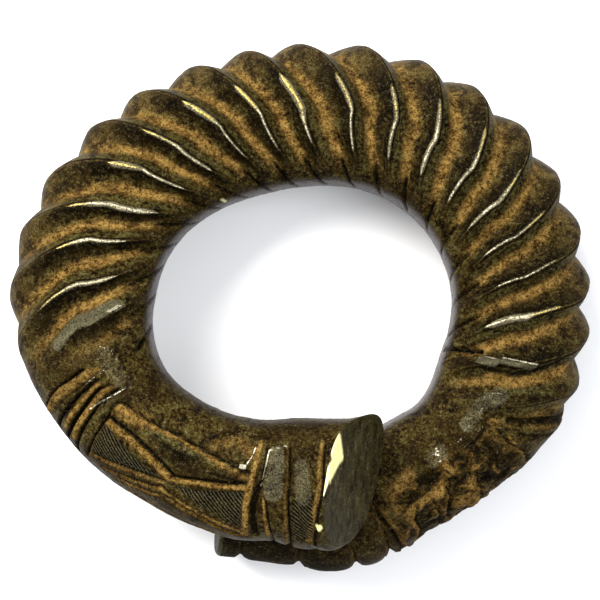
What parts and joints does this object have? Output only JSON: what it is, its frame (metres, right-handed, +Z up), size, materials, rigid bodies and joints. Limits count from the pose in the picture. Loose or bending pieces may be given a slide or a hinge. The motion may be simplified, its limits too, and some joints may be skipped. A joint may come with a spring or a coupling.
{
  "type": "ring money",
  "caption": "Heavy cast brass currency ring, a fluted bar bent into an oval with overlapping ends, carved and banded near the upper end.",
  "frame": {"origin": "on the surface the ring lies on, under the middle of its bounding box", "axes": "+X along the ring's length, +Y away from the overlap of the two ends, +Z up, along the hole"},
  "size_m": [0.1274, 0.1176, 0.0491],
  "materials": {
    "patinated_brass": "dark brown-olive patina with ochre earth in the flutes and bare yellow metal on worn crests"
  },
  "bodies": {
    "root": {"ring": "patinated_brass"}
  },
  "joints": []
}
